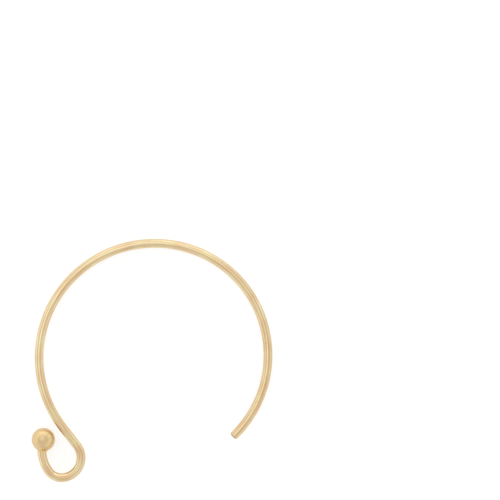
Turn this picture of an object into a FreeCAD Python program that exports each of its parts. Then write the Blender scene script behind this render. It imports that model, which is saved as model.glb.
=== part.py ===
import FreeCAD, Part
import math
import os

import Sketcher

# Ball-end ear wire: one length of round wire, bent into an open hoop, then back the other way into a
# small loop, and closed off by a ball soldered over its end. It lies on a surface as it comes to rest
# there, with the ball propping up one side of the hoop.
# Lengths are in millimetres and angles in degrees. The finished part has its origin at the middle of
# its underside, +Z up, +X towards the free end and +Y towards the crown of the hoop.

# Driving sizes: alias, value, what it is
SIZES = (
    ("wire_diameter", 0.76, "round wire, 0.030 inch stock"),
    ("tip_heading", 43.7, "way the wire leaves its cut tip, anticlockwise from +X"),
    ("tip_break", 0.05, "rounding of the cut edge"),
    ("front_radius", 9.45, "hoop centreline from the tip up the front"),
    ("front_sweep", 114.2, "angle of that bend"),
    ("crown_radius", 9.83, "hoop centreline over the crown"),
    ("crown_sweep", 67.0, "angle of that bend"),
    ("back_radius", 9.61, "hoop centreline down the back"),
    ("back_sweep", 83.0, "angle of that bend"),
    ("neck_length", 1.91, "straight run from the hoop to the loop"),
    ("side_radius", 1.69, "loop centreline at its outer side"),
    ("side_sweep", 118.4, "angle of that bend"),
    ("foot_radius", 1.35, "loop centreline at its foot"),
    ("foot_sweep", 64.6, "angle of that bend"),
    ("return_radius", 3.12, "loop centreline from its foot up to the ball"),
    ("return_sweep", 50.8, "angle of that bend"),
    ("ball_diameter", 2.0, "ball over the wire's end"),
    ("solder_radius", 0.2, "concave fillet of solder between wire and ball"),
)

# The stretches of the wire in order from its tip: name, and the way each one bends
LEFT = 1
STRAIGHT = 0
RIGHT = -1
STRETCHES = (
    ("front", LEFT),
    ("crown", LEFT),
    ("back", LEFT),
    ("neck", STRAIGHT),
    ("side", RIGHT),
    ("foot", RIGHT),
    ("return", RIGHT),
)

# Numbers that a constraint uses for the points of a line or arc, for the sketch's origin and for the
# first edge brought in from another sketch
START = 1
END = 2
CENTRE = 3
ORIGIN = -1
REFERENCE = -3

UP = FreeCAD.Vector(0, 0, 1)


def make_sheet(doc):
    """Writes the driving sizes into a spreadsheet, one row each, with an alias on the value."""
    sheet = doc.addObject("Spreadsheet::Sheet", "Sizes")
    for row, (alias, value, meaning) in enumerate(SIZES, start=1):
        sheet.set("A%d" % row, alias)
        sheet.set("B%d" % row, str(value))
        sheet.set("C%d" % row, meaning)
        sheet.setAlias("B%d" % row, alias)
    doc.recompute()
    return sheet


def make_sketch(body, name, plane_role):
    """Adds a sketch to the body, on the body's own origin plane of that role."""
    sketch = body.newObject("Sketcher::SketchObject", name)
    plane = next(item for item in body.Origin.OriginFeatures if item.Role == plane_role)
    sketch.AttachmentSupport = (plane, [""])
    sketch.MapMode = "FlatFace"
    return sketch


def bind(sketch, constraint, name, expression):
    """Adds a dimension to the sketch and ties it to the sheet."""
    sketch.renameConstraint(sketch.addConstraint(constraint), name)
    sketch.setExpression("Constraints." + name, expression)


def towards(angle):
    """Unit vector in the plane of the hoop, at an angle in radians from its X axis."""
    return FreeCAD.Vector(math.cos(angle), math.sin(angle), 0)


def add_straight(sketch, name, place, heading, sheet):
    """Draws a straight stretch of wire from a place, and returns its index, where it ends and its heading."""
    far_place = place + towards(heading) * sheet.get(name + "_length")
    index = sketch.addGeometry(Part.LineSegment(place, far_place), False)
    bind(sketch, Sketcher.Constraint("Distance", index, START, index, END, place.distanceToPoint(far_place)),
         name + "_length", "Sizes.%s_length" % name)
    return index, far_place, heading


def add_bend(sketch, name, bend, place, heading, sheet):
    """Draws a bent stretch of wire from a place, and returns its index, where it ends and its heading."""
    radius = sheet.get(name + "_radius")
    sweep = math.radians(sheet.get(name + "_sweep"))
    centre = place + towards(heading + bend * math.pi / 2) * radius
    to_place = heading - bend * math.pi / 2
    to_far_place = to_place + bend * sweep
    circle = Part.Circle(centre, UP, radius)
    arc = Part.ArcOfCircle(circle, min(to_place, to_far_place), max(to_place, to_far_place))
    index = sketch.addGeometry(arc, False)
    bind(sketch, Sketcher.Constraint("Radius", index, radius), name + "_radius", "Sizes.%s_radius" % name)
    bind(sketch, Sketcher.Constraint("Angle", index, sweep), name + "_sweep", "Sizes.%s_sweep * 1 deg" % name)
    return index, centre + towards(to_far_place) * radius, heading + bend * sweep


def draw_centreline(sketch, sheet):
    """Draws the wire's centreline from its tip, at the sketch's origin and heading along Y.

    Returns the place of its far end, which is the middle of the ball.
    """
    place = FreeCAD.Vector(0, 0, 0)
    heading = math.pi / 2
    before = None
    for name, bend in STRETCHES:
        if bend == STRAIGHT:
            index, place, heading = add_straight(sketch, name, place, heading, sheet)
        else:
            index, place, heading = add_bend(sketch, name, bend, place, heading, sheet)
        # An arc is stored anticlockwise, so a bend to the right starts at its last point
        near, far = (END, START) if bend == RIGHT else (START, END)
        if before is None:
            sketch.addConstraint(Sketcher.Constraint("Coincident", index, near, ORIGIN, START))
            sketch.addConstraint(Sketcher.Constraint("PointOnObject", index, CENTRE, ORIGIN))
        else:
            sketch.addConstraint(Sketcher.Constraint("Tangent", before[0], before[1], index, near))
        before = (index, far)
    return place


def draw_section(sketch, sheet):
    """Draws the wire's round section at its tip."""
    radius = sheet.get("wire_diameter") / 2
    index = sketch.addGeometry(Part.Circle(FreeCAD.Vector(0, 0, 0), UP, radius), False)
    sketch.addConstraint(Sketcher.Constraint("Coincident", index, CENTRE, ORIGIN, START))
    bind(sketch, Sketcher.Constraint("Diameter", index, 2 * radius), "wire_diameter", "Sizes.wire_diameter")


def draw_half_disc(sketch, centreline, middle, sheet):
    """Draws the half disc that turns into the ball, on the side away from the wire."""
    radius = sheet.get("ball_diameter") / 2
    side = FreeCAD.Vector(radius, 0, 0)
    sketch.addExternal(centreline.Name, "Edge%d" % len(STRETCHES))
    arc = sketch.addGeometry(Part.ArcOfCircle(Part.Circle(middle, UP, radius), 0, math.pi), False)
    axis = sketch.addGeometry(Part.LineSegment(middle - side, middle + side), False)
    sketch.addConstraint(Sketcher.Constraint("Coincident", arc, END, axis, START))
    sketch.addConstraint(Sketcher.Constraint("Coincident", axis, END, arc, START))
    sketch.addConstraint(Sketcher.Constraint("PointOnObject", arc, CENTRE, axis))
    sketch.addConstraint(Sketcher.Constraint("Horizontal", axis))
    sketch.addConstraint(Sketcher.Constraint("Coincident", arc, CENTRE, REFERENCE, START))
    bind(sketch, Sketcher.Constraint("Radius", arc, radius), "ball_radius", "Sizes.ball_diameter / 2")
    return "Edge%d" % (axis + 1)


def edges_where(shape, test):
    """Names of the shape's edges that pass the test."""
    return ["Edge%d" % number for number, edge in enumerate(shape.Edges, start=1) if test(edge)]


def add_round(body, name, base, edges, expression):
    """Rounds the named edges of a feature by a radius from the sheet."""
    rounding = body.newObject("PartDesign::Fillet", name)
    rounding.Base = (base, edges)
    rounding.setExpression("Radius", expression)
    return rounding


def make_ear_wire(doc, sheet):
    """Builds the ear wire with its tip at the origin, and returns its body and the ball's middle."""
    body = doc.addObject("PartDesign::Body", "EarWire")
    body.Label = "ear_wire"

    centreline = make_sketch(body, "Centreline", "XY_Plane")
    middle = draw_centreline(centreline, sheet)
    section = make_sketch(body, "Section", "XZ_Plane")
    draw_section(section, sheet)
    doc.recompute()
    wire = body.newObject("PartDesign::AdditivePipe", "Wire")
    wire.Profile = section
    wire.Spine = (centreline, ["Edge%d" % (number + 1) for number in range(len(STRETCHES))])
    doc.recompute()

    half_disc = make_sketch(body, "HalfDisc", "XY_Plane")
    axis = draw_half_disc(half_disc, centreline, middle, sheet)
    doc.recompute()
    ball = body.newObject("PartDesign::Revolution", "Ball")
    ball.Profile = half_disc
    ball.ReferenceAxis = (half_disc, [axis])
    ball.Angle = 360
    doc.recompute()

    # The joint of wire and ball is the one edge whose middle lies well out from the ball's middle but
    # inside its surface: a circle as wide as the wire
    wire_radius = sheet.get("wire_diameter") / 2
    ball_radius = sheet.get("ball_diameter") / 2
    joint = edges_where(ball.Shape, lambda edge: (
        ball_radius - wire_radius / 2 < edge.CenterOfMass.distanceToPoint(middle) < ball_radius))
    solder = add_round(body, "Solder", ball, joint, "Sizes.solder_radius")
    doc.recompute()

    # The cut edge is the circle round the origin
    cut = edges_where(solder.Shape, lambda edge: edge.CenterOfMass.Length < wire_radius / 2)
    add_round(body, "CutEdge", solder, cut, "Sizes.tip_break")
    doc.recompute()
    return body, middle


def resting_place(shape, middle, sheet):
    """Placement of the ear wire as it lies on a flat surface, from its shape with the tip at the origin.

    It touches down at the ball and at the far side of the hoop, and the line between the two contacts
    passes through its centre of mass.
    """
    wire_radius = sheet.get("wire_diameter") / 2
    ball_radius = sheet.get("ball_diameter") / 2
    front_radius = sheet.get("front_radius")
    front_middle = FreeCAD.Vector(-front_radius, 0, 0)
    across = shape.Solids[0].CenterOfMass - middle
    across.normalize()
    # Where that line meets the front bend of the hoop
    nearest = (front_middle - middle).dot(across)
    off_line = (front_middle - middle - across * nearest).Length
    contact = middle + across * (nearest + math.sqrt(front_radius ** 2 - off_line ** 2))
    outward = (contact - front_middle) / front_radius

    # The centreline lies a wire's radius up at the far contact and a ball's radius up at the ball
    span = (contact - middle).dot(outward)
    tilt = math.degrees(math.asin((ball_radius - wire_radius) / span))
    turned = FreeCAD.Rotation(UP, sheet.get("tip_heading") - 90)
    level = turned.multVec(UP.cross(outward))
    rotation = FreeCAD.Rotation(level, tilt) * turned

    lying = shape.copy()
    lying.Placement = FreeCAD.Placement(FreeCAD.Vector(0, 0, 0), rotation)
    box = lying.optimalBoundingBox(False)
    underside = FreeCAD.Vector(box.Center.x, box.Center.y, box.ZMin)
    return FreeCAD.Placement(-underside, rotation), tilt


def check(doc, bodies):
    """Stops if any object of the document failed, or if a body isn't one valid solid."""
    for item in doc.Objects:
        if "Invalid" in item.State or "Error" in item.State:
            raise RuntimeError("%s is %s" % (item.Name, item.State))
    for body in bodies:
        if body.Shape.isNull() or not body.Shape.isValid() or len(body.Shape.Solids) != 1:
            raise RuntimeError("%s isn't one valid solid" % body.Label)


def main():
    """Builds the ear wire, lays it down, prints its sizes and exports it."""
    doc = FreeCAD.newDocument("EarWire")
    sheet = make_sheet(doc)
    body, middle = make_ear_wire(doc, sheet)
    body.Placement, tilt = resting_place(body.Shape, middle, sheet)
    doc.recompute()
    check(doc, [body])

    length = sum(edge.Length for edge in doc.Centreline.Shape.Edges)
    section_area = math.pi * sheet.get("wire_diameter") ** 2 / 4
    box = body.Shape.optimalBoundingBox(False)
    print("centreline %.2f mm, wire %.3f mm3, swept %.3f mm3"
          % (length, section_area * length, doc.Wire.Shape.Volume))
    print("whole %.3f mm3, tilt %.2f degrees" % (body.Shape.Volume, tilt))
    print("box X %.3f to %.3f, Y %.3f to %.3f, Z %.3f to %.3f"
          % (box.XMin, box.XMax, box.YMin, box.YMax, box.ZMin, box.ZMax))

    os.makedirs("parts", exist_ok=True)
    body.Shape.exportStep("parts/%s.step" % body.Label)


main()
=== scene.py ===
"""Looks of a ball-end ear wire: round gold-filled wire bent into an open hoop and a small pendant loop.

The wire lies on a pale table, with the ball propping up one side of the hoop, and is seen from straight
above under soft studio light. Lengths are in millimetres until a mesh, a light or the camera is made.
"""

import logging
import math
from dataclasses import dataclass
from enum import Enum, IntEnum
from typing import Any, Mapping, Sequence

import bmesh
import bpy
from mathutils import Matrix, Vector, noise


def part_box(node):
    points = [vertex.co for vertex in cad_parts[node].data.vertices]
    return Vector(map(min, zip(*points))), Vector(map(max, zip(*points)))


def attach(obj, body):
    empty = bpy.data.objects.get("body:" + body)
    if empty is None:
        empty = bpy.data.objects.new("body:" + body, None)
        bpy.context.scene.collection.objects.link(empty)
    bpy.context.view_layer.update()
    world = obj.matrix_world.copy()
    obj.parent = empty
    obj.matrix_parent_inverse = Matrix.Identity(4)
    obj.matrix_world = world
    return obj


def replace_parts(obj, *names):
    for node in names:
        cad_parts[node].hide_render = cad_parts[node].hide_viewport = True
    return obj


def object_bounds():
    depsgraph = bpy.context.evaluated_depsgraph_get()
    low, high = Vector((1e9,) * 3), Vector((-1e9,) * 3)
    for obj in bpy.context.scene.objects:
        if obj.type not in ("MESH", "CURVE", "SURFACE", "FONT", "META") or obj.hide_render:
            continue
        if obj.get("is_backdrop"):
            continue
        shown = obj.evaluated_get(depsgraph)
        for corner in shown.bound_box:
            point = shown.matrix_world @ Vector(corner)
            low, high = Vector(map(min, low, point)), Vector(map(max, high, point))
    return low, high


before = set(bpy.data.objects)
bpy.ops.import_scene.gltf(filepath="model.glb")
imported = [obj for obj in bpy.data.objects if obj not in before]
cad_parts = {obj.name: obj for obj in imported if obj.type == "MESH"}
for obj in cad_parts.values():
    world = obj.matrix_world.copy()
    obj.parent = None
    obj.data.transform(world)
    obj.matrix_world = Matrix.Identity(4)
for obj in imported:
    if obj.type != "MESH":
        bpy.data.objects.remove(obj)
CAD_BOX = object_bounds()

NODE = "ear_wire"
BODY = "root"

MM = 0.001
WIRE_RADIUS = 0.38
UP = Vector((0.0, 0.0, 1.0))
# Every point of a piece keeps its place on the bare metal in this attribute, in millimetres. On the wire
# that is across it in its own plane, up from that plane, and along it, so that patterns follow the bends.
METAL_PLACE = "metal_place_mm"
# Nearly all of a noise pattern lies between these values, so they are taken as its lowest and highest.
NOISE_LOW, NOISE_HIGH = 0.3, 0.7

log = logging.getLogger("ear_wire")


def linear(colour: str) -> tuple[float, float, float, float]:
    """Turns an sRGB hex colour into a linear one.

    Args:
        colour: Six hex digits after a #.
    Returns:
        Red, green and blue in linear light, and an alpha of 1.
    """
    shares = [int(colour[place:place + 2], 16) / 255 for place in (1, 3, 5)]
    red, green, blue = (
        share / 12.92 if share <= 0.04045 else ((share + 0.055) / 1.055) ** 2.4 for share in shares
    )
    return red, green, blue, 1.0


def add_node(
    tree: bpy.types.NodeTree, kind: str, inputs: Mapping[Any, Any] | None = None, **settings: Any
) -> bpy.types.Node:
    """Adds a node to a tree, with its settings and what goes into it.

    Args:
        tree: The tree of a material or of the world.
        kind: Blender's own name for this kind of node.
        inputs: For an input's name or number, the value that it holds or the output that feeds it.
        **settings: The node's own properties.
    Returns:
        The new node.
    """
    node = tree.nodes.new(kind)
    for name, value in settings.items():
        setattr(node, name, value)
    for key, value in (inputs or {}).items():
        if isinstance(value, bpy.types.NodeSocket):
            tree.links.new(value, node.inputs[key])
        else:
            node.inputs[key].default_value = value
    return node


def start_material(name: str) -> tuple[bpy.types.Material, bpy.types.NodeTree]:
    """Makes an empty node material.

    Args:
        name: The real material and how its surface was made.
    Returns:
        The material and its tree.
    """
    material = bpy.data.materials.new(name)
    material.use_nodes = True
    material.node_tree.nodes.clear()
    return material, material.node_tree


@dataclass(frozen=True)
class DrawnGoldFilled:
    """Gold-filled wire as it left the drawing die.

    A layer of 14 karat gold over brass. The die leaves fine lines along the wire, so the eye sees a soft
    sheen broken into thin bright and dull streaks that run with it. A thin film of tarnish makes some
    stretches warmer, and the free end deeper in colour. Round the hoop one crisp line of brighter colour
    is
    a painted highlight: colour that stands in for the thin highlight of a lamp along the wire.

    Attributes:
        name: Name of the material.
        colour: Colour of the clean metal.
        warm_colour: Colour where the film of tarnish warms it.
        deep_colour: Colour of the deeper streaks.
        deep_range: From which depth a streak begins to take that colour, and at which it has it all.
        roughness: Middle roughness.
        streak_roughness: How far the roughness goes up and down from streak to streak.
        line_gap: Distance from line to line. The real lines are under 0.02 mm apart, which is finer than
            the render shows, so they are drawn wider.
        line_length: About how long a line goes on.
        line_depth: Height of the bump that the lines give.
        patch: Size of the patches of tarnish.
        patch_weight: How much the patches add to the depth of the streaks.
        film_range: From which value of the patches the film begins, and at which it is full.
        handled: Length of the free end, which is handled most and so is the most tarnished.
        handled_depth: How much that adds to the depth of the streaks at the cut tip.
        painted_highlight_colour: Colour of the painted highlight line.
        painted_highlight_share: How much of that colour the line takes on.
        painted_highlight_width: Width of the painted highlight line.
        painted_highlight_blur: How soft its edges are, as a share of half its width.
        painted_highlight_angle: Where it runs round the wire on the whole, in degrees from the top towards
            the side.
        painted_highlight_swing: How far it drifts to either side of that, in degrees.
        painted_highlight_drift: Length of wire in which it drifts there and back.
        painted_highlight_peak: Length of wire from the cut tip to where it is furthest over.
        painted_highlight_end: Length of wire from the cut tip to where it has faded out.
        painted_highlight_fade: Length of wire in which it fades out.
    """

    name: str = "gold_filled_drawn"
    colour: str = "#E1D4A8"
    warm_colour: str = "#E8D1AA"
    deep_colour: str = "#D3B186"
    deep_range: tuple[float, float] = (0.56, 0.87)
    roughness: float = 0.16
    streak_roughness: float = 0.07
    line_gap: float = 0.09
    line_length: float = 3.5
    line_depth: float = 0.01
    patch: float = 1.5
    patch_weight: float = 0.4
    film_range: tuple[float, float] = (0.38, 0.62)
    handled: float = 16.0
    handled_depth: float = 0.11
    # Painted highlight: a bright line of colour round the hoop, in place of a lamp's highlight along the
    # wire.
    painted_highlight_colour: str = "#F6E3B6"
    painted_highlight_share: float = 0.55
    painted_highlight_width: float = 0.08
    painted_highlight_blur: float = 0.4
    painted_highlight_angle: float = 0.0
    painted_highlight_swing: float = 10.0
    painted_highlight_drift: float = 64.0
    painted_highlight_peak: float = 27.0
    painted_highlight_end: float = 41.0
    painted_highlight_fade: float = 3.0

    def painted_highlight_line(self, tree: bpy.types.NodeTree, place: bpy.types.NodeSocket) -> bpy.types.NodeSocket:
        """Adds the nodes that tell where the painted highlight line is.

        Args:
            tree: The material's tree.
            place: The place on the bare metal.
        Returns:
            How much of the line is at that place, from 0 to 1.
        """
        parts = add_node(tree, "ShaderNodeSeparateXYZ", {"Vector": place}).outputs
        angle = add_node(tree, "ShaderNodeMath", {0: parts["X"], 1: parts["Y"]}, operation="ARCTAN2")
        turn = math.tau / self.painted_highlight_drift
        phase = add_node(tree, "ShaderNodeMath", {
            0: parts["Z"],
            1: turn,
            2: math.pi / 2 - turn * self.painted_highlight_peak,
        }, operation="MULTIPLY_ADD")
        swing = add_node(tree, "ShaderNodeMath", {0: phase.outputs["Value"]}, operation="SINE")
        course = add_node(tree, "ShaderNodeMath", {
            0: swing.outputs["Value"],
            1: math.radians(self.painted_highlight_swing),
            2: math.radians(self.painted_highlight_angle),
        }, operation="MULTIPLY_ADD")
        gap = add_node(tree, "ShaderNodeMath", {
            0: angle.outputs["Value"],
            1: course.outputs["Value"],
        }, operation="SUBTRACT")
        off = add_node(tree, "ShaderNodeMath", {0: gap.outputs["Value"]}, operation="ABSOLUTE")
        half = self.painted_highlight_width / 2 / WIRE_RADIUS
        line = add_node(tree, "ShaderNodeMapRange", {
            "Value": off.outputs["Value"],
            "From Min": (1 - self.painted_highlight_blur) * half,
            "From Max": (1 + self.painted_highlight_blur) * half,
            "To Min": self.painted_highlight_share,
            "To Max": 0.0,
        })
        fade = add_node(tree, "ShaderNodeMapRange", {
            "Value": parts["Z"],
            "From Min": self.painted_highlight_end - self.painted_highlight_fade,
            "From Max": self.painted_highlight_end,
            "To Min": 1.0,
            "To Max": 0.0,
        })
        return add_node(tree, "ShaderNodeMath", {
            0: line.outputs["Result"],
            1: fade.outputs["Result"],
        }, operation="MULTIPLY").outputs["Value"]

    def material(self) -> bpy.types.Material:
        """Makes the material.

        Returns:
            Metal with streaks along the wire, patches of a warmer colour and a painted highlight line.
        """
        material, tree = start_material(self.name)
        place = add_node(tree, "ShaderNodeAttribute", attribute_name=METAL_PLACE).outputs["Vector"]
        drawn_out = add_node(tree, "ShaderNodeMapping", {
            "Vector": place,
            "Scale": (1 / self.line_gap, 1 / self.line_gap, 1 / self.line_length),
        })
        lines = add_node(tree, "ShaderNodeTexNoise", {
            "Vector": drawn_out.outputs["Vector"],
            "Scale": 1.0,
            "Detail": 2.0,
            "Roughness": 0.6,
        })
        patches = add_node(tree, "ShaderNodeTexNoise", {
            "Vector": place,
            "Scale": 1 / self.patch,
            "Detail": 2.0,
        })
        handled = add_node(tree, "ShaderNodeMapRange", {
            "Value": add_node(tree, "ShaderNodeSeparateXYZ", {"Vector": place}).outputs["Z"],
            "From Min": 0.0,
            "From Max": self.handled,
            "To Min": self.handled_depth,
            "To Max": 0.0,
        })
        streaks = add_node(tree, "ShaderNodeMath", {
            0: patches.outputs["Fac"],
            1: self.patch_weight,
            2: lines.outputs["Fac"],
        }, operation="MULTIPLY_ADD")
        depth = add_node(tree, "ShaderNodeMath", {
            0: streaks.outputs["Value"],
            1: handled.outputs["Result"],
        }, operation="ADD")
        share = add_node(tree, "ShaderNodeMapRange", {
            "Value": depth.outputs["Value"],
            "From Min": self.deep_range[0],
            "From Max": self.deep_range[1],
        })
        film = add_node(tree, "ShaderNodeMapRange", {
            "Value": patches.outputs["Fac"],
            "From Min": self.film_range[0],
            "From Max": self.film_range[1],
        })
        clean = add_node(tree, "ShaderNodeMix", {
            0: film.outputs["Result"],
            6: linear(self.colour),
            7: linear(self.warm_colour),
        }, data_type="RGBA")
        streaked = add_node(tree, "ShaderNodeMix", {
            0: share.outputs["Result"],
            6: clean.outputs[2],
            7: linear(self.deep_colour),
        }, data_type="RGBA")
        # The painted highlight line is mixed into the metal's colour here.
        tone = add_node(tree, "ShaderNodeMix", {
            0: self.painted_highlight_line(tree, place),
            6: streaked.outputs[2],
            7: linear(self.painted_highlight_colour),
        }, data_type="RGBA")
        dullness = add_node(tree, "ShaderNodeMapRange", {
            "Value": lines.outputs["Fac"],
            "From Min": NOISE_LOW,
            "From Max": NOISE_HIGH,
            "To Min": self.roughness - self.streak_roughness,
            "To Max": self.roughness + self.streak_roughness,
        })
        relief = add_node(tree, "ShaderNodeBump", {
            "Height": lines.outputs["Fac"],
            "Distance": self.line_depth * MM,
            "Strength": 1.0,
        })
        metal = add_node(tree, "ShaderNodeBsdfPrincipled", {
            "Base Color": tone.outputs[2],
            "Metallic": 1.0,
            "Roughness": dullness.outputs["Result"],
            "Normal": relief.outputs["Normal"],
        })
        add_node(tree, "ShaderNodeOutputMaterial", {"Surface": metal.outputs["BSDF"]})
        return material


@dataclass(frozen=True)
class BurnishedGoldFilled:
    """Gold-filled ball, burnished by tumbling with steel shot.

    Its colour is a little warmer than the wire's. It mirrors the studio softly, in a picture that shallow
    dents bend and hairline scratches dull.

    Attributes:
        name: Name of the material.
        colour: Colour of most of the metal.
        deep_colour: Colour of its deeper patches.
        roughness: Middle roughness.
        scratch_roughness: How far the roughness goes up and down from scratch to scratch.
        dent_size: Distance from dent to dent.
        dent_depth: Depth of the dents.
        scratch_gap: Distance from scratch to scratch, wider than the real ones so that they show.
        scratch_length: About how long a scratch goes on.
        scratch_turn: Turn of the scratches about each axis, in radians, so that they run aslant.
        scratch_bend: How much they bend.
    """

    name: str = "gold_filled_burnished"
    colour: str = "#E3CC9D"
    deep_colour: str = "#D5B484"
    roughness: float = 0.3
    scratch_roughness: float = 0.1
    dent_size: float = 0.45
    dent_depth: float = 0.01
    scratch_gap: float = 0.07
    scratch_length: float = 0.8
    scratch_turn: tuple[float, float, float] = (0.7, 0.4, 1.1)
    scratch_bend: float = 0.4

    def material(self) -> bpy.types.Material:
        """Makes the material.

        Returns:
            Burnished metal with dents, hairline scratches and patches of a deeper colour.
        """
        material, tree = start_material(self.name)
        place = add_node(tree, "ShaderNodeAttribute", attribute_name=METAL_PLACE).outputs["Vector"]
        dents = add_node(tree, "ShaderNodeTexNoise", {
            "Vector": place,
            "Scale": 1 / self.dent_size,
            "Detail": 1.0,
        })
        turned = add_node(tree, "ShaderNodeMapping", {
            "Vector": place,
            "Rotation": self.scratch_turn,
            "Scale": (1 / self.scratch_gap, 1 / self.scratch_length, 1 / self.scratch_gap),
        })
        scratches = add_node(tree, "ShaderNodeTexNoise", {
            "Vector": turned.outputs["Vector"],
            "Scale": 1.0,
            "Detail": 2.0,
            "Distortion": self.scratch_bend,
        })
        tone = add_node(tree, "ShaderNodeMix", {
            0: dents.outputs["Fac"],
            6: linear(self.colour),
            7: linear(self.deep_colour),
        }, data_type="RGBA")
        dullness = add_node(tree, "ShaderNodeMapRange", {
            "Value": scratches.outputs["Fac"],
            "From Min": NOISE_LOW,
            "From Max": NOISE_HIGH,
            "To Min": self.roughness - self.scratch_roughness,
            "To Max": self.roughness + self.scratch_roughness,
        })
        dented = add_node(tree, "ShaderNodeBump", {
            "Height": dents.outputs["Fac"],
            "Distance": self.dent_depth * MM,
            "Strength": 1.0,
        })
        metal = add_node(tree, "ShaderNodeBsdfPrincipled", {
            "Base Color": tone.outputs[2],
            "Metallic": 1.0,
            "Roughness": dullness.outputs["Result"],
            "Normal": dented.outputs["Normal"],
        })
        add_node(tree, "ShaderNodeOutputMaterial", {"Surface": metal.outputs["BSDF"]})
        return material


@dataclass(frozen=True)
class FlowedSolder:
    """Gold solder that has flowed into the corner between wire and ball, and was left as it set.

    It is yellower than the metal around it, and its skin is slightly pitted, which dulls it.

    Attributes:
        name: Name of the material.
        colour: Colour of most of the solder.
        deep_colour: Colour where the flame has stained it.
        stain_range: From which value of the pits the stain begins, and at which it is full.
        roughness: Roughness of its skin.
        pit_size: Distance from pit to pit.
        pit_depth: Depth of the pits.
    """

    name: str = "gold_solder_flowed"
    colour: str = "#E8CE96"
    deep_colour: str = "#D6B074"
    stain_range: tuple[float, float] = (0.4, 0.65)
    roughness: float = 0.3
    pit_size: float = 0.12
    pit_depth: float = 0.006

    def material(self) -> bpy.types.Material:
        """Makes the material.

        Returns:
            Pitted metal with flame stains.
        """
        material, tree = start_material(self.name)
        place = add_node(tree, "ShaderNodeAttribute", attribute_name=METAL_PLACE).outputs["Vector"]
        pits = add_node(tree, "ShaderNodeTexNoise", {
            "Vector": place,
            "Scale": 1 / self.pit_size,
            "Detail": 2.0,
        })
        stain = add_node(tree, "ShaderNodeMapRange", {
            "Value": pits.outputs["Fac"],
            "From Min": self.stain_range[0],
            "From Max": self.stain_range[1],
        })
        tone = add_node(tree, "ShaderNodeMix", {
            0: stain.outputs["Result"],
            6: linear(self.colour),
            7: linear(self.deep_colour),
        }, data_type="RGBA")
        relief = add_node(tree, "ShaderNodeBump", {
            "Height": pits.outputs["Fac"],
            "Distance": self.pit_depth * MM,
            "Strength": 1.0,
        })
        metal = add_node(tree, "ShaderNodeBsdfPrincipled", {
            "Base Color": tone.outputs[2],
            "Metallic": 1.0,
            "Roughness": self.roughness,
            "Normal": relief.outputs["Normal"],
        })
        add_node(tree, "ShaderNodeOutputMaterial", {"Surface": metal.outputs["BSDF"]})
        return material


@dataclass(frozen=True)
class ShearedBrass:
    """Face of the wire where the cutters went through: a brass core inside a thin rim of gold.

    The blades dragged lines across it, so it looks greyer and duller than the drawn sides.

    Attributes:
        name: Name of the material.
        core_colour: Colour of the brass.
        rim_colour: Colour of the gold layer.
        rim_radius: Distance from the wire's middle at which the gold begins. A real layer is 0.01 mm
            thick, which is finer than the render shows, so it is drawn thicker.
        rim_blur: How far the two colours run into each other, to either side of that.
        roughness: Roughness of the sheared metal.
        drag_gap: Distance from one drag line to the next.
        drag_length: About how long a drag line goes on.
        drag_depth: Depth of the drag lines.
    """

    name: str = "brass_sheared"
    core_colour: str = "#A08E74"
    rim_colour: str = "#D9BA8C"
    rim_radius: float = 0.335
    rim_blur: float = 0.01
    roughness: float = 0.42
    drag_gap: float = 0.045
    drag_length: float = 0.375
    drag_depth: float = 0.006

    def material(self) -> bpy.types.Material:
        """Makes the material.

        Returns:
            Dull metal with drag lines, and the gold layer showing round it.
        """
        material, tree = start_material(self.name)
        place = add_node(tree, "ShaderNodeAttribute", attribute_name=METAL_PLACE).outputs["Vector"]
        across = add_node(tree, "ShaderNodeMapping", {"Vector": place, "Scale": (1.0, 1.0, 0.0)})
        from_middle = add_node(tree, "ShaderNodeVectorMath", {
            0: across.outputs["Vector"],
        }, operation="LENGTH")
        rim = add_node(tree, "ShaderNodeMapRange", {
            "Value": from_middle.outputs["Value"],
            "From Min": self.rim_radius - self.rim_blur,
            "From Max": self.rim_radius + self.rim_blur,
        })
        tone = add_node(tree, "ShaderNodeMix", {
            0: rim.outputs["Result"],
            6: linear(self.core_colour),
            7: linear(self.rim_colour),
        }, data_type="RGBA")
        dragged = add_node(tree, "ShaderNodeMapping", {
            "Vector": place,
            "Scale": (1 / self.drag_length, 1 / self.drag_gap, 1.0),
        })
        drag_lines = add_node(tree, "ShaderNodeTexNoise", {
            "Vector": dragged.outputs["Vector"],
            "Scale": 1.0,
            "Detail": 2.0,
        })
        relief = add_node(tree, "ShaderNodeBump", {
            "Height": drag_lines.outputs["Fac"],
            "Distance": self.drag_depth * MM,
            "Strength": 1.0,
        })
        metal = add_node(tree, "ShaderNodeBsdfPrincipled", {
            "Base Color": tone.outputs[2],
            "Metallic": 1.0,
            "Roughness": self.roughness,
            "Normal": relief.outputs["Normal"],
        })
        add_node(tree, "ShaderNodeOutputMaterial", {"Surface": metal.outputs["BSDF"]})
        return material


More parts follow.
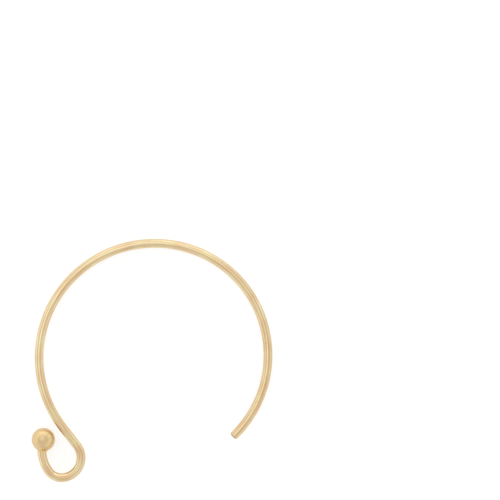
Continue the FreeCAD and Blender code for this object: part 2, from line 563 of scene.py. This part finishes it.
@dataclass(frozen=True)
class OpalAcrylic:
    """Matt opal acrylic of a light table, lit from below: an even white that hardly takes a shadow.

    Opal acrylic throws back under half of the light that falls on it and lets the rest through, so most
    of its brightness comes from the lamps under it.

    Attributes:
        name: Name of the material.
        colour: Colour of the sheet.
        glow_colour: Colour of the light that comes up through it.
        roughness: Roughness of its matt face.
        glow: How bright the light from below leaves it.
        grain: Size of the matt face's grain.
        grain_depth: Height of that grain.
        grain_strength: How much of that height the bump takes.
    """

    name: str = "acrylic_opal_matt"
    colour: str = "#ACACAC"
    glow_colour: str = "#FFFFFF"
    roughness: float = 0.7
    glow: float = 0.66
    grain: float = 0.3
    grain_depth: float = 0.004
    grain_strength: float = 0.5

    def material(self) -> bpy.types.Material:
        """Makes the material.

        Returns:
            Pale matt plastic with a fine grain and an even glow.
        """
        material, tree = start_material(self.name)
        place = add_node(tree, "ShaderNodeTexCoord").outputs["Object"]
        grain = add_node(tree, "ShaderNodeTexNoise", {
            "Vector": place,
            "Scale": 1 / (self.grain * MM),
            "Detail": 2.0,
        })
        relief = add_node(tree, "ShaderNodeBump", {
            "Height": grain.outputs["Fac"],
            "Distance": self.grain_depth * MM,
            "Strength": self.grain_strength,
        })
        sheet = add_node(tree, "ShaderNodeBsdfPrincipled", {
            "Base Color": linear(self.colour),
            "Roughness": self.roughness,
            "Emission Color": linear(self.glow_colour),
            "Emission Strength": self.glow,
            "Normal": relief.outputs["Normal"],
        })
        add_node(tree, "ShaderNodeOutputMaterial", {"Surface": sheet.outputs["BSDF"]})
        return material


class Bend(Enum):
    """Way that a stretch of the wire turns, seen from above and going from the cut tip to the ball."""

    LEFT = 1
    STRAIGHT = 0
    RIGHT = -1


@dataclass(frozen=True)
class FlatPlace:
    """A place on the centreline in the wire's own plane: two coordinates and a heading in radians."""

    x: float
    y: float
    heading: float


@dataclass(frozen=True)
class Stretch:
    """One stretch of the wire: a straight run or an even bend.

    Attributes:
        name: What the stretch is.
        bend: Way that it turns.
        size: Radius of a bend, or length of a straight run.
        sweep: Angle that a bend goes through, in degrees.
    """

    name: str
    bend: Bend
    size: float
    sweep: float = 0.0

    def length(self) -> float:
        """Length along the centreline."""
        return self.size if self.bend is Bend.STRAIGHT else self.size * math.radians(self.sweep)

    def follow(self, start: FlatPlace, run: float) -> FlatPlace:
        """Goes along the stretch.

        Args:
            start: Where the stretch begins.
            run: How far to go.
        Returns:
            The place reached.
        """
        if self.bend is Bend.STRAIGHT:
            step_x, step_y = run * math.cos(start.heading), run * math.sin(start.heading)
            return FlatPlace(start.x + step_x, start.y + step_y, start.heading)
        swing = self.bend.value * self.size
        heading = start.heading + run / swing
        return FlatPlace(
            start.x + swing * (math.sin(heading) - math.sin(start.heading)),
            start.y - swing * (math.cos(heading) - math.cos(start.heading)),
            heading,
        )


@dataclass(frozen=True)
class Station:
    """A place on the centreline of the wire as it lies.

    Attributes:
        run: Length of wire from the cut tip to here.
        middle: Where it is.
        along: Way that the wire runs.
        side: Square to that in the wire's plane, to the right.
        rise: Square to the wire's plane, upwards.
    """

    run: float
    middle: Vector
    along: Vector
    side: Vector
    rise: Vector

    def outward(self, angle: float) -> Vector:
        """Way out from the centreline at an angle round the wire, from its side towards its rise."""
        return self.side * math.cos(angle) + self.rise * math.sin(angle)


@dataclass
class WireLine:
    """Centreline of the bent wire, from the middle of its cut tip to the middle of its ball.

    Attributes:
        wire_radius: Radius of the wire.
        ball_radius: Radius of the ball.
        tip_heading: Way that the wire leaves its cut tip, in degrees anticlockwise from +X.
        downhill: Way that the hoop leans down from the ball to where it touches the table, in degrees.
        samples: How many places on the centreline are looked at to find how the wire lies.
        stretches: The stretches in order from the tip.
    """

    wire_radius: float = WIRE_RADIUS
    ball_radius: float = 1.0
    tip_heading: float = 43.7
    downhill: float = 55.3
    samples: int = 2000
    stretches: tuple[Stretch, ...] = (
        Stretch("front", Bend.LEFT, 9.45, 114.2),
        Stretch("crown", Bend.LEFT, 9.83, 67.0),
        Stretch("back", Bend.LEFT, 9.61, 83.0),
        Stretch("neck", Bend.STRAIGHT, 1.91),
        Stretch("side", Bend.RIGHT, 1.69, 118.4),
        Stretch("foot", Bend.RIGHT, 1.35, 64.6),
        Stretch("return", Bend.RIGHT, 3.12, 50.8),
    )

    def __post_init__(self) -> None:
        """Starts with the wire flat, and works out its length."""
        self.length = sum(stretch.length() for stretch in self.stretches)
        self.pose = Matrix.Identity(4)

    def flat_place(self, run: float) -> FlatPlace:
        """Finds a place on the centreline in the wire's own plane.

        Args:
            run: Length of wire from the cut tip.
        Returns:
            The place.
        """
        place = FlatPlace(0.0, 0.0, math.radians(self.tip_heading))
        for stretch in self.stretches[:-1]:
            if run <= stretch.length():
                return stretch.follow(place, run)
            place = stretch.follow(place, stretch.length())
            run -= stretch.length()
        return self.stretches[-1].follow(place, run)

    def station(self, run: float) -> Station:
        """Finds a place on the centreline of the wire as it lies.

        Args:
            run: Length of wire from the cut tip.
        Returns:
            The place, with the ways along, across and up.
        """
        flat = self.flat_place(run)
        turn = self.pose.to_3x3()
        along = turn @ Vector((math.cos(flat.heading), math.sin(flat.heading), 0.0))
        side = turn @ Vector((math.sin(flat.heading), -math.cos(flat.heading), 0.0))
        return Station(run, self.pose @ Vector((flat.x, flat.y, 0.0)), along, side, turn @ UP)

    def ball_middle(self) -> Vector:
        """Middle of the ball, which is the far end of the centreline."""
        return self.station(self.length).middle

    def sampled(self) -> list[Station]:
        """Places along the whole centreline, evenly spaced."""
        return [self.station(self.length * number / self.samples) for number in range(self.samples + 1)]

    def low_corner(self) -> Vector:
        """Finds the lowest corner of the box round wire and ball.

        Returns:
            The corner.
        """
        corner = self.ball_middle() - Vector((1.0, 1.0, 1.0)) * self.ball_radius
        for station in self.sampled():
            for axis in range(3):
                reach = self.wire_radius * math.sqrt(max(0.0, 1 - station.along[axis] ** 2))
                corner[axis] = min(corner[axis], station.middle[axis] - reach)
        return corner

    def lie_down(self, box_corner: Vector) -> None:
        """Leans the wire from its ball down to the table, and moves it into the part's box.

        Args:
            box_corner: Lowest corner of that box.
        """
        angle = math.radians(self.downhill)
        outward = Vector((math.cos(angle), math.sin(angle), 0.0))
        ball = self.ball_middle()
        reach = max((station.middle - ball).dot(outward) for station in self.sampled())
        lean = math.asin((self.ball_radius - self.wire_radius) / reach)
        self.pose = Matrix.Rotation(lean, 4, UP.cross(outward))
        self.pose = Matrix.Translation(box_corner - self.low_corner()) @ self.pose


class Finish(IntEnum):
    """Which of a piece's materials a face takes."""

    MAIN = 0
    CUT = 1


class Skin:
    """Closed skin of one piece, gathered ring by ring and then written as a mesh."""

    def __init__(self, around: int) -> None:
        """Starts an empty skin with that many points in each ring."""
        self.around = around
        self.points: list[Vector] = []
        self.places: list[Vector] = []
        self.faces: list[tuple[int, ...]] = []
        self.finishes: list[Finish] = []

    def add_ring(self, points: Sequence[Vector], places: Sequence[Vector]) -> int:
        """Adds a ring of points.

        Args:
            points: The points, one for each step round.
            places: The place of each on the bare metal.
        Returns:
            Number of the ring's first point.
        """
        first = len(self.points)
        self.points.extend(points)
        self.places.extend(places)
        return first

    def join(self, ring: int, next_ring: int, finish: Finish = Finish.MAIN) -> None:
        """Joins two rings by a band of four-sided faces.

        Args:
            ring: Number of the first ring's first point.
            next_ring: Number of the other ring's first point.
            finish: Which material the band takes.
        """
        for step in range(self.around):
            after = (step + 1) % self.around
            self.faces.append((ring + step, ring + after, next_ring + after, next_ring + step))
            self.finishes.append(finish)

    def close(self, ring: int, point: Vector, place: Vector, finish: Finish = Finish.MAIN) -> None:
        """Closes a ring by a fan of faces to one point.

        Args:
            ring: Number of the ring's first point.
            point: The point in its middle.
            place: That point's place on the bare metal.
            finish: Which material the fan takes.
        """
        middle = self.add_ring([point], [place])
        for step in range(self.around):
            self.faces.append((ring + step, ring + (step + 1) % self.around, middle))
            self.finishes.append(finish)

    def piece(self, name: str, materials: Sequence[bpy.types.Material]) -> bpy.types.Object:
        """Writes the skin as an object that rides on the part.

        Args:
            name: Name of the piece.
            materials: Its materials, in the order of Finish.
        Returns:
            The object.
        """
        mesh = bpy.data.meshes.new(name)
        mesh.from_pydata([point * MM for point in self.points], [], self.faces)
        for material in materials:
            mesh.materials.append(material)
        mesh.polygons.foreach_set("material_index", [int(finish) for finish in self.finishes])
        mesh.polygons.foreach_set("use_smooth", [True] * len(mesh.polygons))
        places = mesh.attributes.new(METAL_PLACE, "FLOAT_VECTOR", "POINT")
        places.data.foreach_set("vector", [value for place in self.places for value in place])
        shell = bmesh.new()
        shell.from_mesh(mesh)
        bmesh.ops.recalc_face_normals(shell, faces=shell.faces)
        shell.to_mesh(mesh)
        shell.free()
        item = bpy.data.objects.new(name, mesh)
        bpy.context.scene.collection.objects.link(item)
        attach(item, BODY)
        return item


@dataclass(frozen=True)
class PlierMark:
    """Shallow flat that a plier's jaw has pressed into the wire.

    Attributes:
        run: Length of wire from the cut tip to the middle of the mark.
        length: Length of the mark along the wire.
        angle: Where it is round the wire, in degrees from the side towards the top.
        depth: How deep it is pressed in.
    """

    run: float
    length: float
    angle: float
    depth: float

    def pressed(self, run: float, angle: float, radius: float) -> float:
        """Radius of the wire where the mark may have flattened it.

        Args:
            run: Length of wire from the cut tip.
            angle: Angle round the wire, in radians.
            radius: Radius that the wire has without the mark.
        Returns:
            The radius with the mark.
        """
        share = abs(run - self.run) / (self.length / 2)
        facing = math.cos(angle - math.radians(self.angle))
        if share >= 1 or facing <= 0:
            return radius
        # Flat for most of its length, with ends that run out softly.
        depth = self.depth * (1 - share ** 4) ** 2
        return min(radius, (radius - depth) / facing)


@dataclass
class DrawnWire:
    """The wire from its cut tip to the ball, as one closed skin.

    Attributes:
        line: The centreline that it follows.
        around: How many points each ring has.
        wide_bend: Radius from which a bend counts as wide.
        hoop_step: Distance from ring to ring in the wide bends.
        loop_step: Distance from ring to ring in the tight bends and the neck.
        cut_round: Rounding of the cut edge.
        cut_round_steps: How many faces that rounding has.
        cut_ridge: How far the middle of the cut face stands out, where the blades met.
        cut_rings: How many rings the cut face has.
        plier_marks: The flats that pliers have left.
        inside: How far the wire goes on inside the ball.
    """

    line: WireLine
    around: int = 64
    wide_bend: float = 5.0
    hoop_step: float = 0.15
    loop_step: float = 0.06
    cut_round: float = 0.05
    cut_round_steps: int = 5
    cut_ridge: float = 0.09
    cut_rings: int = 6
    inside: float = 0.5
    plier_marks: tuple[PlierMark, ...] = (
        PlierMark(run=45.2, length=1.7, angle=83.0, depth=0.022),
        PlierMark(run=45.1, length=1.5, angle=265.0, depth=0.02),
        PlierMark(run=47.9, length=0.9, angle=20.0, depth=0.012),
    )

    def radius(self, run: float, angle: float) -> float:
        """Radius of the wire at one place.

        Args:
            run: Length of wire from the cut tip.
            angle: Angle round the wire, in radians.
        Returns:
            The radius, with the plier marks.
        """
        radius = self.line.wire_radius
        for mark in self.plier_marks:
            radius = mark.pressed(run, angle, radius)
        return radius

    def runs(self) -> list[float]:
        """Lists where the rings are.

        Returns:
            Lengths of wire from the cut tip, past its rounded edge, to the end inside the ball.
        """
        runs: list[float] = []
        start = self.cut_round
        reached = 0.0
        for stretch in self.line.stretches:
            reached += stretch.length()
            end = min(reached, self.line.length - self.line.ball_radius + self.inside)
            step = self.hoop_step if stretch.size > self.wide_bend else self.loop_step
            count = max(1, math.ceil((end - start) / step))
            runs.extend(start + (end - start) * number / count for number in range(count))
            start = end
        return [*runs, start]

    def add_ring(self, skin: Skin, run: float, inset: float = 0.0, forward: Sequence[float] = ()) -> int:
        """Adds one ring of the wire's skin.

        Args:
            skin: Where it goes.
            run: Length of wire from the cut tip.
            inset: How far the ring lies inside the wire's surface.
            forward: How far each point is moved along the wire.
        Returns:
            Number of the ring's first point.
        """
        station = self.line.station(run)
        points, places = [], []
        for step in range(self.around):
            angle = math.tau * step / self.around
            radius = self.radius(run, angle) - inset
            push = forward[step] if forward else 0.0
            points.append(station.middle + station.outward(angle) * radius + station.along * push)
            places.append(Vector((radius * math.cos(angle), radius * math.sin(angle), run + push)))
        return skin.add_ring(points, places)

    def cut_relief(self, radius: float) -> list[float]:
        """How far the cut face stands out along one of its rings.

        Args:
            radius: Radius of the ring.
        Returns:
            For each point, how far it is moved along the wire, which is backwards from the tip.
        """
        edge = self.line.wire_radius - self.cut_round
        moves = []
        # The face is highest along one line across it, and flat where it meets the rounded edge.
        for step in range(self.around):
            across = abs(radius * math.sin(math.tau * step / self.around)) / edge
            moves.append(-self.cut_ridge * (1 - across) * (1 - (radius / edge) ** 4))
        return moves

    def build(self) -> Skin:
        """Builds the skin.

        Returns:
            The skin, from the middle of the cut face to the end inside the ball.
        """
        skin = Skin(self.around)
        edge = self.line.wire_radius - self.cut_round
        tip = self.line.station(0.0)
        radii = [edge * number / self.cut_rings for number in range(1, self.cut_rings + 1)]
        rings = [
            self.add_ring(skin, 0.0, self.line.wire_radius - radius, self.cut_relief(radius))
            for radius in radii
        ]
        peak = tip.middle - tip.along * self.cut_ridge
        skin.close(rings[0], peak, Vector((0.0, 0.0, -self.cut_ridge)), Finish.CUT)
        for ring, next_ring in zip(rings, rings[1:]):
            skin.join(ring, next_ring, Finish.CUT)
        last = rings[-1]
        for number in range(1, self.cut_round_steps):
            turn = math.pi / 2 * number / self.cut_round_steps
            run = self.cut_round * (1 - math.cos(turn))
            inset = self.cut_round * (1 - math.sin(turn))
            ring = self.add_ring(skin, run, inset)
            skin.join(last, ring, Finish.CUT)
            last = ring
        for run in self.runs():
            ring = self.add_ring(skin, run)
            skin.join(last, ring)
            last = ring
        end = self.line.station(self.runs()[-1])
        skin.close(last, end.middle, Vector((0.0, 0.0, end.run)))
        return skin

    def dress(self, skin: Skin) -> bpy.types.Object:
        """Writes the skin with its finishes, and lets it stand for the part's solid.

        Args:
            skin: The skin.
        Returns:
            The piece.
        """
        piece = skin.piece("drawn_wire", [DrawnGoldFilled().material(), ShearedBrass().material()])
        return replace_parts(piece, NODE)


@dataclass
class EndBall:
    """The ball over the wire's end, as a closed skin of six square patches.

    Attributes:
        line: The centreline whose end it sits on.
        patch_steps: How many faces each patch has along one side.
        dent_size: Distance from dent to dent.
        dent_depth: How deep its shallow dents are.
    """

    line: WireLine
    patch_steps: int = 30
    dent_size: float = 0.9
    dent_depth: float = 0.008

    def surface(self, way: Vector) -> Vector:
        """Finds the point of the ball's surface that lies in one direction from its middle.

        Args:
            way: That direction, a unit vector.
        Returns:
            The point, from the ball's middle.
        """
        dent = noise.noise(way * (self.line.ball_radius / self.dent_size))
        return way * (self.line.ball_radius - self.dent_depth * (0.5 + 0.5 * dent))

    def build(self) -> Skin:
        """Builds the skin.

        Returns:
            Six patches of a cube blown up into a ball, welded along their sides.
        """
        skin = Skin(1)
        numbers: dict[tuple[int, int, int], int] = {}
        middle = self.line.ball_middle()

        def corner(cell: tuple[int, int, int]) -> int:
            """Number of the point at a corner of the cube's grid."""
            if cell not in numbers:
                # Even steps of the angle, not of the cube's side, make the faces about the same size.
                way = [math.tan((2 * value / self.patch_steps - 1) * math.pi / 4) for value in cell]
                point = self.surface(Vector(way).normalized())
                numbers[cell] = skin.add_ring([middle + point], [point])
            return numbers[cell]

        for axis in range(3):
            for layer in (0, self.patch_steps):
                for row in range(self.patch_steps):
                    for column in range(self.patch_steps):
                        square = []
                        for right, up in ((0, 0), (1, 0), (1, 1), (0, 1)):
                            cell = [row + right, column + up]
                            cell.insert(axis, layer)
                            square.append(corner((cell[0], cell[1], cell[2])))
                        skin.faces.append(tuple(square))
                        skin.finishes.append(Finish.MAIN)
        return skin

    def dress(self, skin: Skin) -> bpy.types.Object:
        """Writes the skin with its finish."""
        return skin.piece("end_ball", [BurnishedGoldFilled().material()])


@dataclass
class SolderCollar:
    """Solder that fills the corner between wire and ball, as a closed ring.

    Its outside is the hollow that a small ball leaves as it rolls round in that corner.

    Attributes:
        line: The centreline that it sits on.
        around: How many points it has round the wire.
        fillet: Radius of the hollow.
        uneven: How much that radius changes round the wire, as a share of it.
        waves: How many waves the solder's edge has round the wire.
        wave_start: Angle by which the first of them is turned, in radians.
        steps: How many faces the hollow has from wire to ball.
        halvings: How often the search for the hollow's place halves its range.
        cover: How far the collar's skin goes on under the surfaces of wire and ball.
        lip: How far the edge of the solder stands up from wire and ball.
    """

    line: WireLine
    around: int = 64
    fillet: float = 0.2
    uneven: float = 0.12
    waves: int = 3
    wave_start: float = 0.6
    steps: int = 10
    halvings: int = 40
    cover: float = 0.12
    lip: float = 0.006

    def fillet_at(self, angle: float) -> float:
        """Radius of the hollow at an angle round the wire, with waves along both of the wire's sides."""
        wave = math.sin(self.waves * angle + self.wave_start) * math.cos(angle)
        return self.fillet * (1 + self.uneven * wave)

    def touching_run(self, angle: float, fillet: float) -> float:
        """Finds where a ball of the fillet's radius touches both wire and ball.

        Args:
            angle: Angle round the wire, in radians.
            fillet: Radius of the fillet there.
        Returns:
            Length of wire from the cut tip to where it touches the wire.
        """
        middle = self.line.ball_middle()
        low = self.line.length - 2 * self.line.ball_radius
        high = self.line.length - self.line.ball_radius / 2
        for _ in range(self.halvings):
            run = (low + high) / 2
            station = self.line.station(run)
            hollow = station.middle + station.outward(angle) * (self.line.wire_radius + fillet)
            if (hollow - middle).length > self.line.ball_radius + fillet:
                low = run
            else:
                high = run
        return low

    def build(self) -> Skin:
        """Builds the ring.

        Returns:
            The skin, whose rings go round the wire: over the hollow from wire to ball and back inside.
        """
        middle = self.line.ball_middle()
        # The last two rows lie inside ball and wire, and close the ring under their surfaces.
        rows: list[list[Vector]] = [[] for _ in range(self.steps + 3)]
        for step in range(self.around):
            angle = math.tau * step / self.around
            fillet = self.fillet_at(angle)
            station = self.line.station(self.touching_run(angle, fillet))
            outward = station.outward(angle)
            hollow = station.middle + outward * (self.line.wire_radius + fillet)
            to_wire, to_ball = -outward, (middle - hollow).normalized()
            reach = math.acos(max(-1.0, min(1.0, to_wire.dot(to_ball))))
            for number in range(self.steps + 1):
                share = number / self.steps
                wire_part = to_wire * math.sin((1 - share) * reach)
                ball_part = to_ball * math.sin(share * reach)
                lift = self.lip * math.sqrt(math.sin(math.pi * share))
                rows[number].append(hollow + (wire_part + ball_part).normalized() * (fillet - lift))
            rows[-2].append(rows[self.steps][-1] + to_ball * self.cover)
            rows[-1].append(rows[0][-1] + to_wire * self.cover)
        skin = Skin(self.around)
        rings = [skin.add_ring(row, [point - middle for point in row]) for row in rows]
        for ring, next_ring in zip(rings, [*rings[1:], rings[0]]):
            skin.join(ring, next_ring)
        return skin

    def dress(self, skin: Skin) -> bpy.types.Object:
        """Writes the skin with its finish."""
        return skin.piece("solder_collar", [FlowedSolder().material()])


@dataclass
class Table:
    """The light table that the wire lies on.

    Attributes:
        side: Length of its sides.
        cells: How many faces it has along a side.
    """

    side: float = 4000.0
    cells: int = 8

    def build(self) -> bpy.types.Object:
        """Builds the table top.

        Returns:
            The table top, which isn't part of the object.
        """
        sheet = bmesh.new()
        bmesh.ops.create_grid(sheet, x_segments=self.cells, y_segments=self.cells, size=self.side * MM / 2)
        mesh = bpy.data.meshes.new("light_table")
        sheet.to_mesh(mesh)
        sheet.free()
        mesh.materials.append(OpalAcrylic().material())
        item = bpy.data.objects.new("light_table", mesh)
        bpy.context.scene.collection.objects.link(item)
        item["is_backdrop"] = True
        return item


class LightShape(Enum):
    """Shape of a light's face, by Blender's own name."""

    SQUARE = "RECTANGLE"
    ROUND = "ELLIPSE"

    def area(self, width: float, height: float) -> float:
        """Area of a face of this shape."""
        return width * height * (math.pi / 4 if self is LightShape.ROUND else 1.0)


@dataclass(frozen=True)
class Softbox:
    """One soft studio light, described as the ear wire sees it.

    Attributes:
        name: What the light is.
        azimuth: Way to its middle, in degrees anticlockwise from +X.
        from_zenith: How far its middle is from straight overhead, in degrees.
        width: How wide it looks, in degrees.
        height: How high it looks, in degrees.
        extra: How much brighter than the room behind it its face looks.
        shape: Shape of its face.
    """

    name: str
    azimuth: float
    from_zenith: float
    width: float
    height: float
    extra: float
    shape: LightShape = LightShape.SQUARE

    def hang(self, distance: float) -> bpy.types.Object:
        """Hangs the light in its place, facing the ear wire.

        Args:
            distance: How far from the ear wire.
        Returns:
            The light, which the camera doesn't see but the metal mirrors.
        """
        turn, lean = math.radians(self.azimuth), math.radians(self.from_zenith)
        way = Vector((math.sin(lean) * math.cos(turn), math.sin(lean) * math.sin(turn), math.cos(lean)))
        lamp = bpy.data.lights.new(self.name, "AREA")
        lamp.shape = self.shape.value
        lamp.size = 2 * distance * math.tan(math.radians(self.width / 2)) * MM
        lamp.size_y = 2 * distance * math.tan(math.radians(self.height / 2)) * MM
        lamp.energy = self.extra * math.pi * self.shape.area(lamp.size, lamp.size_y)
        item = bpy.data.objects.new(self.name, lamp)
        facing = (-way).to_track_quat("-Z", "Y").to_matrix().to_4x4()
        item.matrix_world = Matrix.Translation(way * distance * MM) @ facing
        item.visible_camera = False
        bpy.context.scene.collection.objects.link(item)
        return item


@dataclass
class Studio:
    """Soft light from all round: a white room with a box overhead and brighter panels along its walls.

    Attributes:
        room_colour: Colour of the light that the white room throws back.
        room_brightness: How bright the room looks.
        distance: How far the softboxes hang from the ear wire.
        softboxes: The lights.
    """

    room_colour: str = "#FFFFFF"
    room_brightness: float = 0.885
    distance: float = 700.0
    softboxes: tuple[Softbox, ...] = (
        Softbox("octabox", 126.0, 18.0, 41.0, 41.0, 0.29, LightShape.ROUND),
        Softbox("back_panel", 90.0, 56.0, 46.0, 36.0, 0.34),
        Softbox("back_low_strip", 90.0, 80.0, 60.0, 16.0, 0.8),
        Softbox("back_left_panel", 135.0, 68.0, 44.0, 36.0, 0.36),
        Softbox("back_right_panel", 45.0, 71.0, 44.0, 32.0, 0.34),
        Softbox("left_panel", 180.0, 72.0, 44.0, 30.0, 0.32),
        Softbox("right_panel", 0.0, 72.0, 44.0, 30.0, 0.18),
        Softbox("front_left_panel", 225.0, 68.0, 44.0, 30.0, 0.2),
        Softbox("front_right_panel", 315.0, 68.0, 44.0, 30.0, 0.2),
    )

    def light(self) -> None:
        """Lights the room and hangs the softboxes."""
        world = bpy.data.worlds.new("white_room")
        world.use_nodes = True
        world.node_tree.nodes.clear()
        room = add_node(world.node_tree, "ShaderNodeBackground", {
            "Color": linear(self.room_colour),
            "Strength": self.room_brightness,
        })
        add_node(world.node_tree, "ShaderNodeOutputWorld", {"Surface": room.outputs["Background"]})
        bpy.context.scene.world = world
        for softbox in self.softboxes:
            softbox.hang(self.distance)
            log.info("light %s", softbox.name)


@dataclass
class Camera:
    """Camera that looks straight down on the table, with the photograph's framing.

    Attributes:
        pixel: Real size of one pixel of the photograph at the wire.
        frame_pixels: Width and height of the photograph.
        origin_pixel: Where the part's origin is in the photograph, from its upper left corner.
        lens: Focal length.
        sensor: Width of the sensor.
        wire_height: Height above the table at which the pixel has its size.
        near: Distance from which the camera sees things.
        far: Distance up to which it sees them.
    """

    pixel: float = 0.0846
    frame_pixels: float = 500.0
    origin_pixel: tuple[float, float] = (152.15, 360.35)
    lens: float = 180.0
    sensor: float = 36.0
    wire_height: float = 0.7
    near: float = 10.0
    far: float = 20000.0

    def place(self) -> bpy.types.Object:
        """Places the camera and makes it the scene's own.

        Returns:
            The camera.
        """
        middle = self.frame_pixels / 2
        right = (middle - self.origin_pixel[0]) * self.pixel
        up = (self.origin_pixel[1] - middle) * self.pixel
        distance = self.frame_pixels * self.pixel * self.lens / self.sensor
        data = bpy.data.cameras.new("overhead_camera")
        data.lens = self.lens
        data.sensor_width = self.sensor
        data.clip_start = self.near * MM
        data.clip_end = self.far * MM
        item = bpy.data.objects.new("overhead_camera", data)
        item.location = Vector((right, up, distance + self.wire_height)) * MM
        bpy.context.scene.collection.objects.link(item)
        bpy.context.scene.camera = item
        return item


def main() -> None:
    """Builds the ear wire piece by piece, then its table, light and camera."""
    logging.basicConfig(level=logging.INFO, format="%(name)s: %(message)s")
    line = WireLine()
    line.lie_down(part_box(NODE)[0] / MM)
    log.info("centreline %.2f mm long", line.length)
    for part in (DrawnWire(line), EndBall(line), SolderCollar(line)):
        piece = part.dress(part.build())
        log.info("piece %s, %d faces", piece.name, len(piece.data.polygons))
    Table().build()
    Studio().light()
    Camera().place()
    bpy.context.scene.view_settings.view_transform = "Standard"

    boxes = {"cad_box": CAD_BOX, "visual_box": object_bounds()}
    {name: [list(corner) for corner in box] for name, box in boxes.items()}


if __name__ == "__main__":
    main()
